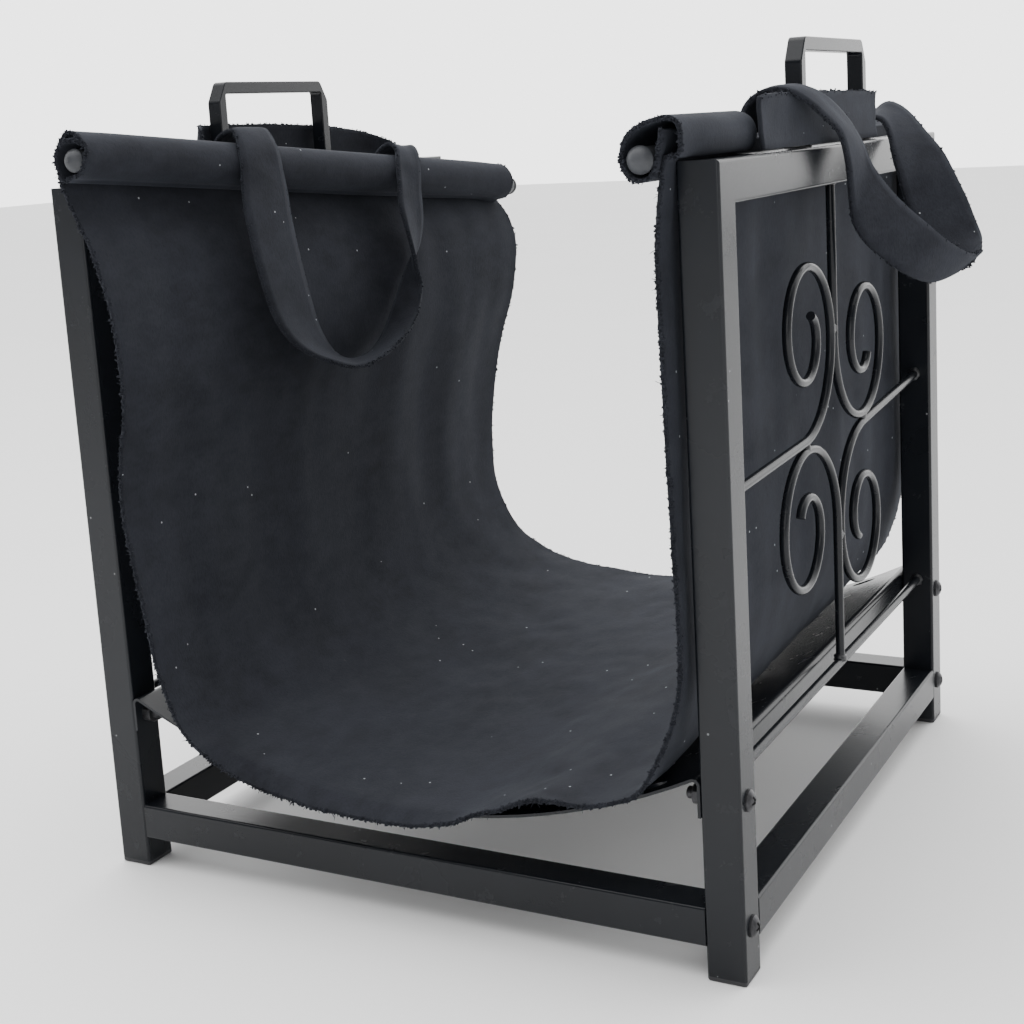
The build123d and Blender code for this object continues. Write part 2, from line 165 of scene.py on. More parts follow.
class Shader:
    """A new material with a few short ways to add nodes."""

    def __init__(self, name):
        self.material = bpy.data.materials.new(name)
        self.material.use_nodes = True
        self.tree = self.material.node_tree
        self.bsdf = self.tree.nodes["Principled BSDF"]
        self.place = self.add("ShaderNodeTexCoord").outputs["Object"]

    def add(self, kind, **values):
        node = self.tree.nodes.new(kind)
        for key, value in values.items():
            setattr(node, key, value)
        return node

    def link(self, source, target):
        self.tree.links.new(source, target)

    def noise(self, scale, detail=4.0, roughness=0.55, stretch=None):
        node = self.add("ShaderNodeTexNoise")
        node.inputs["Scale"].default_value = scale
        node.inputs["Detail"].default_value = detail
        node.inputs["Roughness"].default_value = roughness
        place = self.place
        if stretch:
            mapping = self.add("ShaderNodeMapping")
            mapping.inputs["Scale"].default_value = stretch
            self.link(place, mapping.inputs["Vector"])
            place = mapping.outputs["Vector"]
        self.link(place, node.inputs["Vector"])
        return node.outputs["Fac"]

    def ramp(self, source, *stops):
        """Colours from a value; each stop is (position, colour)."""
        node = self.add("ShaderNodeValToRGB")
        elements = node.color_ramp.elements
        while len(elements) < len(stops):
            elements.new(0.5)
        for element, (position, color) in zip(elements, stops):
            element.position = position
            element.color = (*color, 1.0)
        self.link(source, node.inputs["Fac"])
        return node.outputs["Color"]

    def fit(self, source, low, high, start=0.0, stop=1.0):
        """Bring a value that runs from start to stop between low and high."""
        node = self.add("ShaderNodeMapRange")
        node.inputs["From Min"].default_value = start
        node.inputs["From Max"].default_value = stop
        node.inputs["To Min"].default_value = low
        node.inputs["To Max"].default_value = high
        self.link(source, node.inputs["Value"])
        return node.outputs["Result"]

    def mix(self, factor, base, color):
        """Lay a plain colour over the base, by factor."""
        node = self.add("ShaderNodeMix", data_type="RGBA", blend_type="MIX")
        self.link(factor, node.inputs["Factor"])
        self.link(base, node.inputs[MIX_BASE])
        node.inputs[MIX_COLOR].default_value = (*color, 1.0)
        return node.outputs[MIX_RESULT]

    def calc(self, operation, first, second):
        node = self.add("ShaderNodeMath", operation=operation)
        for value, socket in zip((first, second), node.inputs):
            if isinstance(value, float):
                socket.default_value = value
            else:
                self.link(value, socket)
        return node.outputs[0]

    def bump(self, *layers):
        """Stack bumps: each layer is (height, distance in millimetres, strength)."""
        normal = None
        for height, distance, strength in layers:
            node = self.add("ShaderNodeBump")
            node.inputs["Distance"].default_value = distance * MM
            node.inputs["Strength"].default_value = strength
            self.link(height, node.inputs["Height"])
            if normal:
                self.link(normal, node.inputs["Normal"])
            normal = node.outputs["Normal"]
        self.link(normal, self.bsdf.inputs["Normal"])

    def specks(self, scale, radius, share):
        """Scattered small dots: 1 in a dot, 0 elsewhere, in the given share of the cells."""
        node = self.add("ShaderNodeTexVoronoi")
        node.inputs["Scale"].default_value = scale
        self.link(self.place, node.inputs["Vector"])
        near = self.calc("LESS_THAN", node.outputs["Distance"], radius)
        split = self.add("ShaderNodeSeparateColor")
        self.link(node.outputs["Color"], split.inputs["Color"])
        chosen = self.calc("LESS_THAN", split.outputs["Red"], share)
        return self.calc("MULTIPLY", near, chosen)

    def constants(self, **values):
        """Values that are the same all over, set on the shader's own sockets."""
        for key, value in values.items():
            self.bsdf.inputs[key.replace("_", " ")].default_value = value

    def surface(self, color, roughness):
        self.link(color, self.bsdf.inputs["Base Color"])
        self.link(roughness, self.bsdf.inputs["Roughness"])


def powder_coat():
    """Semi-gloss black powder coat: fine orange peel, faint cloudiness, dust and rubbed patches."""
    s = Shader("powder_coat_black")
    cloud = s.noise(9.0, 5.0)
    color = s.ramp(cloud, (0.3, (0.0052, 0.0062, 0.0082)), (0.7, (0.0100, 0.0115, 0.0145)))
    rub = s.ramp(s.noise(60.0, 8.0, 0.7), (0.60, (0, 0, 0)), (0.78, (1, 1, 1)))
    color = s.mix(s.fit(rub, 0.0, 0.3), color, (0.040, 0.042, 0.047))
    dust = s.specks(80.0, 0.045, 0.30)
    color = s.mix(s.fit(dust, 0.0, 0.6), color, (0.30, 0.31, 0.32))
    grain = s.noise(620.0, 3.0, 0.5)
    s.surface(color, s.calc("ADD", s.fit(cloud, 0.20, 0.32), s.fit(rub, 0.0, 0.12)))
    s.constants(Specular_IOR_Level=0.25, IOR=1.5)
    s.bump((grain, 0.10, 0.30), (s.noise(140.0, 2.0), 0.25, 0.12))
    return s.material


def weld_metal():
    """Weld beads under the same paint, rippled and a little rougher."""
    s = Shader("painted_weld")
    ripple = s.noise(900.0, 4.0, 0.6)
    color = s.ramp(ripple, (0.3, (0.009, 0.0095, 0.011)), (0.7, (0.020, 0.021, 0.024)))
    s.surface(color, s.fit(ripple, 0.25, 0.45))
    s.bump((ripple, 0.35, 0.5))
    return s.material


def black_screw():
    """Blackened steel with fine scratches."""
    s = Shader("black_oxide_screw")
    scratch = s.noise(420.0, 6.0, 0.7, (1.0, 4.0, 1.0))
    color = s.ramp(scratch, (0.35, (0.012, 0.012, 0.014)), (0.75, (0.06, 0.06, 0.065)))
    s.surface(color, s.fit(scratch, 0.28, 0.5))
    s.constants(Metallic=0.55)
    s.bump((scratch, 0.06, 0.5))
    return s.material


def bare_steel():
    """Turned steel with tool marks, for the plugs inside the rails."""
    s = Shader("plain_steel_plug")
    turn = s.noise(300.0, 5.0, 0.6, (12.0, 1.0, 1.0))
    color = s.ramp(turn, (0.3, (0.32, 0.32, 0.33)), (0.7, (0.50, 0.50, 0.51)))
    s.surface(color, s.fit(turn, 0.3, 0.5))
    s.constants(Metallic=1.0)
    s.bump((turn, 0.04, 0.5))
    return s.material


def moulded_plastic(name, dark, light):
    """Fine-sparked moulded plastic with a little scuffing."""
    s = Shader(name)
    spark = s.noise(1100.0, 3.0, 0.5)
    scuff = s.noise(90.0, 7.0, 0.65)
    s.surface(s.ramp(scuff, (0.35, dark), (0.72, light)), s.fit(scuff, 0.42, 0.6))
    s.constants(Specular_IOR_Level=0.4)
    s.bump((spark, 0.06, 0.5))
    return s.material


def rod_paint():
    """Thin satin grey paint on drawn tube, with draw lines along its length."""
    s = Shader("rod_grey_paint")
    lines = s.noise(500.0, 4.0, 0.6, (1.0, 0.04, 1.0))
    color = s.ramp(lines, (0.3, (0.045, 0.048, 0.052)), (0.7, (0.080, 0.084, 0.092)))
    s.surface(color, s.fit(lines, 0.36, 0.5))
    s.bump((lines, 0.05, 0.5))
    return s.material


def suede(name, nap=1.0):
    """Black split suede: cloudy brushed nap, short fibres, stray lint and a cool sheen."""
    s = Shader(name)
    cloud = s.noise(16.0, 6.0, 0.6)
    brushed = s.noise(95.0, 5.0, 0.62, (1.0, 0.55, 1.0))
    fibres = s.noise(900.0, 4.0, 0.65, (1.0, 1.0, 0.45))
    color = s.ramp(cloud, (0.28, (0.0085, 0.0092, 0.0125)), (0.72, (0.0165, 0.0180, 0.0240)))
    color = s.mix(s.fit(brushed, 0.0, 0.55, 0.35, 0.75), color, (0.0285, 0.0310, 0.0390))
    color = s.mix(s.fit(fibres, 0.0, 0.5, 0.45, 0.8), color, (0.0040, 0.0045, 0.0060))
    lint = s.specks(85.0, 0.048, 0.45)
    color = s.mix(s.fit(lint, 0.0, 0.85), color, (0.42, 0.44, 0.46))
    s.surface(color, s.fit(brushed, 0.86, 1.0))
    s.constants(
        Specular_IOR_Level=0.18, Sheen_Weight=0.05, Sheen_Roughness=0.55,
        Sheen_Tint=(0.55, 0.62, 0.78, 1.0),
    )
    s.bump((fibres, 0.35 * nap, 0.55), (brushed, 0.9 * nap, 0.35), (s.noise(38.0, 3.0), 1.4, 0.25))
    return s.material


def pale_floor():
    """Matt near-white studio floor with the faintest unevenness."""
    s = Shader("pale_floor")
    light = (0.93, 0.93, 0.93)
    color = s.ramp(s.noise(3.0, 3.0), (0.3, tuple(c * 0.985 for c in light)), (0.7, light))
    s.link(color, s.bsdf.inputs["Base Color"])
    s.constants(Roughness=0.8, Specular_IOR_Level=0.2)
    return s.material


WELD_MATERIAL = weld_metal()
SUEDE_MATERIAL = suede("black_suede")
FRAY_MATERIAL = suede("suede_fibre", nap=0.4)

# The finish of each material slot in the record.
NODE_MATERIALS = {
    "powder_coat": powder_coat(),
    "black_fastener": black_screw(),
    "plain_steel": bare_steel(),
    "foot_cap_plastic": moulded_plastic(
        "foot_cap_black", (0.014, 0.014, 0.016), (0.034, 0.034, 0.038)),
    "rod_paint": rod_paint(),
    "rod_cap_plastic": moulded_plastic(
        "rod_cap_grey", (0.022, 0.024, 0.028), (0.046, 0.049, 0.056)),
    "suede": SUEDE_MATERIAL,
}


def paint_nodes():
    """Give every CAD node the finish of its slot."""
    for subpart in frame["record"]["subparts"]:
        node = frame["nodes"][subpart["node"]]
        node.data.materials.clear()
        node.data.materials.append(NODE_MATERIALS[subpart["material_slot"]])


# ---- welds ----


def bead(centre, size, seed):
    """A lump of weld: a rippled ellipsoid of the given half sizes, as vertices and faces."""
    rings, around = 9, 16
    vertices, faces = [], grid_faces(rings, around, closed=True)
    for r in range(rings):
        down = math.pi * (r + 0.02) / (rings - 0.96)    # the first and last ring stop just short
        for a in range(around):
            turn = 2 * math.pi * a / around
            unit = np.array([
                math.sin(down) * math.cos(turn), math.sin(down) * math.sin(turn), math.cos(down),
            ])
            swell = 1 + 0.22 * wave(*(unit * 1.9), seed) + 0.07 * math.sin(9 * unit[2] + seed)
            vertices.append(np.array(centre) + unit * np.array(size) * swell)
    faces.append(tuple(range(around - 1, -1, -1)))
    faces.append(tuple((rings - 1) * around + a for a in range(around)))
    return vertices, faces


def ripple_ring(corners, z, radius, seed):
    """A fillet weld run round the foot of a bar, following its outline."""
    path = spline(corners + corners[:1], 10)[:-1]
    around = 8
    vertices = []
    for i, (x, y) in enumerate(path):
        ahead = path[(i + 1) % len(path)] - path[i - 1]
        side = Vector((ahead[1], -ahead[0])).normalized()
        r = radius * (1 + 0.18 * math.sin(i * 1.7 + seed) + 0.15 * wave(i * 0.6, seed, 0))
        for a in range(around):
            turn = 2 * math.pi * a / around
            out = r * math.cos(turn)
            vertices.append((x + side.x * out, y + side.y * out, z + r * math.sin(turn)))
    faces = grid_faces(len(path), around, closed=True)
    last = (len(path) - 1) * around
    for a in range(around):
        b = (a + 1) % around
        faces.append((last + a, last + b, b, a))
    return vertices, faces


def join_shapes(shapes):
    """Several (vertices, faces) pairs as one."""
    vertices, faces = [], []
    for points, cells in shapes:
        start = len(vertices)
        vertices += list(points)
        faces += [tuple(start + i for i in cell) for cell in cells]
    return vertices, faces


# Where each scroll arm meets the next one: along the panel and up from the scrolls' middle.
ARM_MEETINGS = [(51.6, -1.9), (-3.4, 55.8), (-51.6, -0.4), (3.4, -60.2)]


HANDLE_HALF_BAR = 3.5     # half the handle bar's width along the rail
HANDLE_WELD_R = 1.25


def panel_welds(name, side):
    """The beads of a panel's scroll work, and the fillets round its handle's two feet."""
    x = side * PANEL_X
    beads = [    # middle and half sizes of each
        ((x, 0, RAIL_UNDER_Z), (3.6, 3.9, 1.9)),
        ((x, -side * LEG_INNER_Y, SCROLL_Z), (3.5, 1.9, 3.8)),
        ((x, side * LEG_INNER_Y, SCROLL_Z + 3.0), (3.6, 2.4, 4.1)),
        ((x, 0, CROSS_ROD_Z + 2.0), (3.7, 4.2, 3.2)),
        ((x, -LEG_INNER_Y, CROSS_ROD_Z), (3.4, 1.9, 3.7)),
        ((x, LEG_INNER_Y, CROSS_ROD_Z), (3.7, 2.5, 4.0)),
    ]
    beads += [((x, side * along, SCROLL_Z + up), (2.6, 3.4, 3.4)) for along, up in ARM_MEETINGS]
    shapes = [bead(*lump, seed * 1.37 + side) for seed, lump in enumerate(beads)]
    low, high = box_mm(f"{name}_steel_handle")
    half_x, half_y = (high[0] - low[0]) / 2 + 0.2, HANDLE_HALF_BAR + 0.2
    turns = ((-1, -1), (1, -1), (1, 1), (-1, 1))
    for end in (-1, 1):
        y = end * (high[1] - HANDLE_HALF_BAR)
        corners = [(x + i * half_x, y + j * half_y) for i, j in turns]
        shapes.append(ripple_ring(corners, RAIL_TOP_Z + 0.3, HANDLE_WELD_R, end + side * 3.0))
    piece = mesh_piece(f"{name}_panel_welds", *join_shapes(shapes), WELD_MATERIAL)
    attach(piece, "frame")


# ---- the hung sling ----


def left_rod(y):
    """Middle (x, z) of the left rod, which slopes inward and down to the rear."""
    low, high = box_mm("left_hem_rod")
    t = (y - low[1]) / (high[1] - low[1])
    x = low[0] + HEM_ROD_R + (high[0] - low[0] - 2 * HEM_ROD_R) * t
    return np.array([x, high[2] - HEM_ROD_R - (high[2] - low[2] - 2 * HEM_ROD_R) * t])


def right_rod():
    """Middle (x, z) of the right rod, which is level."""
    low, high = box_mm("right_hem_rod")
    return np.array([(low[0] + high[0]) / 2, (low[2] + high[2]) / 2])


def tray_top(x):
    """Height of the tray's upper face, an arc that ends at its flanges."""
    return TRAY_CENTRE_Z - math.sqrt(TRAY_RADIUS**2 - min(abs(x), TRAY_HALF_WIDTH)**2)


# The sheet's outline in (x, z) from under the left roll, down, across and up to the right rail.
FRONT_OUTLINE = [
    (-171, 388), (-166.5, 373), (-156.5, 352), (-147.5, 315), (-145, 272), (-149, 242), (-151, 212),
    (-146, 168), (-141.5, 130), (-134, 100), (-117, 79), (-88, 65), (-56, 58), (-25, 56.5), (6, 56),
    (36, 60), (66, 72), (94, 81), (120, 82.5), (143, 92), (155, 109), (163.5, 140), (165.3, 172),
    (164.8, 210), (164.5, 250), (164.5, 310), (165.5, 350), (167.6, 372), (168.8, 383),
]
REAR_OUTLINE = [
    (-138.6, 354), (-131.5, 347), (-124.5, 336.5), (-120, 318), (-124, 285), (-134, 254),
    (-144, 215), (-149, 178), (-148, 140), (-134, 108), (-110, 91), (-77, 81), (-45, 77), (-15, 76),
    (15, 76), (45, 77), (72, 79), (95, 82), (118, 87), (138, 97), (151, 114), (160, 143),
    (164.3, 176), (165, 215), (164, 260), (163.6, 310), (165, 350), (167.4, 372), (168.6, 383),
]


def polar(centre, radius, degrees):
    """A point on a circle."""
    angle = math.radians(degrees)
    return (centre[0] + radius * math.cos(angle), centre[1] + radius * math.sin(angle))


# The inner turn of the left roll, from the roll's middle.
ROLL_INNER = [
    (8.6, 4.6), (4.6, 6.6), (-2.0, 7.3), (-7.2, 3.6), (-8.8, -2.6), (-7.6, -9.8), (-5.0, -13.2),
]
ROLL_DEGREES = (-92, -62, -30, 0, 30, 60, 90, 120, 150, 178)


def left_roll(y):
    """The rolled hem from its inner end, round the rod, to the top of the left wall."""
    centre = left_rod(y) + np.array(LEFT_ROLL_SHIFT)
    inner = [(centre[0] + dx, centre[1] + dz) for dx, dz in ROLL_INNER]
    return inner + [polar(centre, LEFT_ROLL_R, degrees) for degrees in ROLL_DEGREES]


# In front of the handle the sheet goes over the rail and round the rod; its end stands up inside.
FRONT_LOOP = [
    (171.0, 387.3), (175.5, 387.4), (179.6, 388.8), (181.4, 394.2), (179.8, 400.2), (175.2, 403.4),
    (169.6, 404.0), (163.5, 402.6), (157.5, 399.0), (153.2, 393.6), (151.9, 387.0), (153.9, 381.0),
    (159.0, 377.9), (164.4, 379.0), (167.3, 383.2), (168.0, 388.5), (169.4, 394.0), (171.2, 399.0),
]


def right_top(y):
    """The sleeve round the right rod, opened to the bigger loop in front of the handle."""
    sleeve = [(168.7 - 0.1 * i, 385.6 + 0.75 * i) for i in range(8)]
    sleeve += [polar(right_rod(), SLEEVE_R, degrees) for degrees in range(38, 351, 32)]
    share = smoothstep(-y, FOLD_START - 3.0, FOLD_START + 2.0)
    narrower = 0.35 * smoothstep(-y, SLING_HALF - 45, SLING_HALF)
    loop = [(x - narrower * max(x - 171.0, 0.0), z) for x, z in FRONT_LOOP]
    return [
        (fx * share + sx * (1 - share), fz * share + sz * (1 - share))
        for (fx, fz), (sx, sz) in zip(loop, sleeve)
    ]


def outline(y):
    """The sheet's whole cross section at a depth, as spline points (x, z)."""
    t = (y + SLING_HALF) / (2 * SLING_HALF)
    wall = [
        (fx + (rx - fx) * t, fz + (rz - fz) * t)
        for (fx, fz), (rx, rz) in zip(FRONT_OUTLINE, REAR_OUTLINE)
    ]
    return left_roll(y) + wall + right_top(y)


def slack(x, y, z):
    """How far the sheet stands off its smooth shape, along its face: soft folds and dents."""
    hang = smoothstep(z, 95, 170) * (1 - smoothstep(z, 330, 375))
    folds = 3.4 * wave(x * 0.004, y * 0.023, z * 0.0045, 1)
    folds += 1.0 * wave(x * 0.01, y * 0.045, z * 0.010, 2)
    floor = 1 - smoothstep(z, 90, 150)
    dents = 2.4 * abs(wave(x * 0.016, y * 0.011, z * 0.02, 3))
    dents += 1.2 * abs(wave(x * 0.05, y * 0.035, 0, 4))
    slanted = 2.2 * smoothstep(x, 20, 90) * abs(wave((x + y) * 0.028, (x - y) * 0.007, 0, 8))
    return hang * folds + floor * (dents + slanted)


FINE_STEP, COARSE_STEP = 1.2, 5.0


def stations():
    """Depths of the sheet's cross sections, closer together at its edges and at the fold's end."""
    half = [0.0]
    while half[-1] < SLING_HALF:
        y = half[-1]
        near_fold = FOLD_START - 7.0 < y < FOLD_START + 4.0
        step = FINE_STEP if near_fold or y > SLING_HALF - 14 else COARSE_STEP
        half.append(min(y + step, SLING_HALF))
    return [-y for y in reversed(half[1:])] + half


def rest_on_tray(x, y, z):
    """Keep the sheet on the tray, and let it droop softly past the tray's front and rear edges."""
    rest = tray_top(x) + 0.65 * SUEDE
    gap = z - rest
    held = rest + (gap + math.sqrt(gap * gap + 2.0)) / 2
    loose = smoothstep(abs(y), TRAY_HALF_DEPTH - 0.5, SLING_HALF + 6.0)
    return held + min(z - held, 0.0) * loose


def roll_end(i, y):
    """How much further in the rolled hem ends at the rear than the sheet below it."""
    hem = 1 - smoothstep(i, ROLL_STEPS - 30, ROLL_STEPS)
    return 5.5 * smoothstep(y, SLING_HALF - 40, SLING_HALF) * hem


def hem_front(i, count, y):
    """How much further out the two hems reach at the front than the sheet between them."""
    below_left = smoothstep(i, ROLL_STEPS - 50, ROLL_STEPS - 10)
    below_right = 1 - smoothstep(i, count - 125, count - 95)
    return 4.5 * (1 - below_left * below_right) * smoothstep(-y, SLING_HALF - 30, SLING_HALF)


EDGE_ZONE = 26.0          # how far in from the cut edges they wander and curl
FLOOR_TOP = 150.0         # below this the sheet may lie on the tray


def sheet_rows():
    """Points of the whole sheet, a row for each depth."""
    rows = []
    for y in stations():
        curve = spline(outline(y), SPLINE_STEPS)
        ahead = np.gradient(curve, axis=0)
        normal = np.stack([-ahead[:, 1], ahead[:, 0]], axis=1)
        normal /= np.linalg.norm(normal, axis=1)[:, None]
        side = math.copysign(1, y)
        edge = smoothstep(abs(y), SLING_HALF - EDGE_ZONE, SLING_HALF)
        row = []
        for i, ((x, z), (nx, nz)) in enumerate(zip(curve, normal)):
            off = slack(x, y, z)
            x, z = x + nx * off, z + nz * off
            cut = 2.6 * wave(i * 0.035, 3 * side, 0, 5) + 1.1 * wave(i * 0.16, 3 * side, 0, 6)
            curl = 1.6 * wave(i * 0.05, 7 * side, 1, 7)
            x, z = x + nx * curl * edge, z + nz * curl * edge
            if abs(x) < TRAY_HALF_WIDTH and z < FLOOR_TOP:
                z = rest_on_tray(x, y, z)
            if abs(y) < TRAY_HALF_DEPTH + 1.0 and z < RAIL_TOP_Z:
                x = min(x, RAIL_INNER_X - 0.55 * SUEDE)
            y_cut = y + (cut - 1.5) * edge * side - roll_end(i, y)
            row.append((x, y_cut - hem_front(i, len(curve), y), z))
        rows.append(row)
    return np.array(rows)


def fibre(root, along, length, radius, bend):
    """One short tapered fibre: three-sided, bending as it goes."""
    side = Vector(along).orthogonal().normalized()
    other = Vector(along).cross(side)
    vertices = []
    for k, share in enumerate((0.0, 0.5, 0.85)):
        centre = Vector(root) + Vector(along) * length * share + Vector(bend) * share * share
        r = radius * (1 - 0.55 * share * share)
        for a in range(3):
            turn = 2 * math.pi * a / 3
            vertices.append(tuple(centre + side * r * math.cos(turn) + other * r * math.sin(turn)))
    vertices.append(tuple(Vector(root) + Vector(along) * length + Vector(bend)))
    faces = grid_faces(3, 3, closed=True) + [(6, 7, 9), (7, 8, 9), (8, 6, 9), (2, 1, 0)]
    return vertices, faces


def fray(name, edge, outward, density, reach):
    """Raw suede edge: tufts and fibres along a line of points, each with its own way out.

    density is the number of fibres on a millimetre, and reach how far they stick out.
    """
    shapes = []
    for start, stop, way in zip(edge[:-1], edge[1:], outward):
        count = max(1, round(float(np.linalg.norm(stop - start)) * density))
        for k in range(count):
            root = start + (stop - start) * ((k + random.random()) / count)
            root = root + np.array([random.uniform(-0.9, 0.9) for _ in range(3)])
            spread = Vector([random.gauss(0, 0.5) for _ in range(3)])
            along = (Vector(way) + spread).normalized()
            tuft = random.random() < 0.8
            length = reach * (random.uniform(0.3, 0.65) if tuft else random.uniform(0.5, 1.1))
            radius = random.uniform(0.5, 1.05) if tuft else random.uniform(0.16, 0.3)
            bend = [random.gauss(0, 0.35) * length for _ in range(3)]
            shapes.append(fibre(root - np.array(along) * 0.9, along, length, radius, bend))
    piece = mesh_piece(name, *join_shapes(shapes), FRAY_MATERIAL)
    return piece


def ways_out(edge, inner):
    """Unit directions from a sheet's inner line of points to its edge."""
    ways = edge - inner
    return ways / np.linalg.norm(ways, axis=1)[:, None]


def suede_piece(name, node, rows, thickness):
    """A suede sheet from rows of points, in place of a CAD node."""
    faces = grid_faces(*rows.shape[:2])
    piece = mesh_piece(name, rows.reshape(-1, 3), faces, SUEDE_MATERIAL)
    thicken(piece, thickness)
    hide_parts(node)
    return piece


def make_sling():
    """The long sheet, with its two raw edges."""
    rows = sheet_rows()
    piece = suede_piece("suede_sling_sheet", "suede_sling", rows, SUEDE)
    frays = [
        fray("sling_front_fray", rows[0], ways_out(rows[0], rows[4]), density=4.6, reach=2.5),
        fray("sling_rear_fray", rows[-1], ways_out(rows[-1], rows[-5]), density=3.0, reach=2.4),
    ]
    for part in (piece, *frays):
        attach(part, "carrier")


# ---- bands and straps ----


def ribbon_rows(edge_a, edge_b, steps, crown):
    """Rows of points of a strip between two edges, bulging a little in the middle."""
    first, second = spline(edge_a, steps), spline(edge_b, steps)
    rows = []
    for i, (a, b) in enumerate(zip(first, second)):
        j = min(max(i, 1), len(first) - 2)
        travel = (first[j + 1] + second[j + 1]) - (first[j - 1] + second[j - 1])
        face = Vector(travel).cross(Vector(b - a)).normalized()
        row = []
        for k in range(RIBBON_POINTS):
            t = k / (RIBBON_POINTS - 1)
            off = crown * (1 - (2 * t - 1)**2) + 0.7 * wave(i * 0.11, t * 2.5, 0, crown + steps)
            row.append((a + (b - a) * t) + np.array(face) * off)
        rows.append(row)
    return np.array(rows)


# Near and far edges of each strap, from its front end to its rear end.
LEFT_STRAP_NEAR = [
    (-167, -80, 396), (-163, -79, 405), (-157, -78.8, 409.2), (-149, -81.7, 410.2),
    (-143, -85.9, 405.7), (-138.5, -90.2, 397.8), (-136.5, -92.1, 389.4), (-134.5, -94.9, 379.2),
    (-131.5, -98.4, 366.4), (-128, -99.9, 349.4), (-125, -100.9, 335.3), (-122.5, -98.2, 318.5),
    (-119.5, -94.4, 301.8), (-115, -87.1, 289.1), (-110, -75.6, 279.4), (-106.5, -58, 271.7),
    (-104.5, -38.1, 266.2), (-103.5, -16, 267.4), (-104, 6.4, 272.8), (-105.5, 26.8, 280.7),
    (-107.5, 42, 291.6), (-109, 50, 305.5), (-110, 48.6, 316.4), (-112, 46.4, 329),
    (-115, 45.7, 344.3), (-119, 47.4, 358), (-122, 51.6, 368), (-124, 55, 377),
    (-126.5, 59.5, 385.9), (-131.5, 66.3, 393), (-140, 70, 396.5), (-149, 71, 391), (-153, 71, 382),
]
LEFT_STRAP_FAR = [
    (-167, -49, 395), (-163, -48, 404.5), (-157, -48.1, 408.6), (-149, -50.9, 409.6),
    (-143, -53.7, 406), (-137, -56.5, 396.9), (-134.4, -56.8, 385.7), (-132.5, -56.8, 374),
    (-130.5, -57.9, 361.1), (-128.5, -56.6, 343.4), (-127.5, -53.6, 327), (-127.5, -47.9, 307.2),
    (-128, -41.6, 291.2), (-129.5, -32.8, 279.9), (-131, -20.7, 270.7), (-132, -8.5, 265.5),
    (-132, 5.2, 263.9), (-131.5, 17.8, 265.6), (-130.5, 30.1, 272.5), (-129, 40.2, 284),
    (-127.5, 49.2, 299), (-126.2, 57, 311), (-124.8, 65.4, 320.5), (-122.8, 72.7, 331),
    (-121.4, 75.6, 343.8), (-121, 76.3, 356.1), (-122, 77.8, 365.8), (-123.5, 80.6, 374.8),
    (-125.5, 84.1, 383), (-131, 90.8, 390.5), (-139, 96, 393.5), (-147.5, 97, 388), (-151, 97, 379),
]
RIGHT_STRAP_NEAR = [
    (172, -112, 394), (173.5, -111, 405), (178, -105, 411.5), (184, -98, 413.6), (191, -86, 410.8),
    (199, -70, 400), (201, -51, 391), (200.5, -35, 375), (200, -29, 354), (202, -30, 343.5),
    (207, -24.5, 333), (214, -17, 324.6), (222, -7.5, 316), (230, 14, 310), (238, 38, 313),
    (243, 55, 316.5), (238, 57, 317), (226, 54, 321), (213, 58, 333), (205, 61, 349),
    (200.5, 62, 364), (196.5, 66, 374.5), (192.5, 74, 386), (187, 80, 394), (180, 84, 396.5),
    (172, 85, 394),
]
RIGHT_STRAP_FAR = [
    (172, -80, 394), (173.5, -80, 407), (178, -73.5, 413), (185, -67, 414.8), (192, -56, 411.5),
    (195, -41, 405), (196.5, -19, 396), (199, -6, 385), (204, -7, 374), (213, -6, 361),
    (221, -2, 351), (230, 5, 341), (237, 15.5, 332), (243, 42, 322.5), (244, 66, 321),
    (241.5, 80, 325), (240.5, 80, 331), (238.5, 79, 337), (233.5, 82, 349), (227, 87, 360),
    (219.5, 90, 373), (210, 94, 384), (199, 104, 394.5), (189, 111, 402), (180, 114, 404),
    (171, 115, 398),
]
# Top and bottom edges of each band, from front to rear.
LEFT_BAND_TOP = [
    (-166, -86, 404), (-170, -84, 411.5), (-176, -77, 414), (-184, -66, 414.4), (-187, -52, 414.4),
    (-187, -20, 414), (-187, 10, 413.6), (-187, 54, 411.4), (-186, 90, 408.4), (-181, 113, 404),
    (-172, 127, 397.5), (-164, 133, 390),
]
LEFT_BAND_BOTTOM = [
    (-167, -87, 392), (-171, -85, 390), (-177, -78, 388), (-185, -68, 386.6), (-187.5, -54, 386.5),
    (-187.5, -20, 386.5), (-187.5, 10, 386.5), (-187.5, 54, 386.5), (-186.5, 90, 386.5),
    (-181, 113, 386.5), (-173, 126, 386), (-165, 131, 376),
]
RIGHT_BAND_TOP = [
    (186.4, -126, 410.5), (187.2, -112, 412), (187.8, -84, 412.4), (187.4, -30, 412.4),
    (187.2, 20, 412), (187.2, 56, 411.3), (186.4, 65.5, 411), (182, 69.5, 410.5), (174, 72, 409),
    (167, 74, 402),
]
RIGHT_BAND_BOTTOM = [
    (186.8, -125, 386.6), (187.2, -110, 386.4), (187.8, -84, 386.4), (187.8, -30, 386.4),
    (187.6, 20, 386.4), (187.4, 56, 386.4), (186.6, 66.5, 386.4), (182, 70.5, 386.6),
    (174, 73, 387), (167.5, 75, 388),
]


def rim_fray(name, rows, reach):
    """Fuzz along the first of a ribbon's long edges."""
    return fray(name, rows[:, 0], ways_out(rows[:, 0], rows[:, 2]), density=2.4, reach=reach)


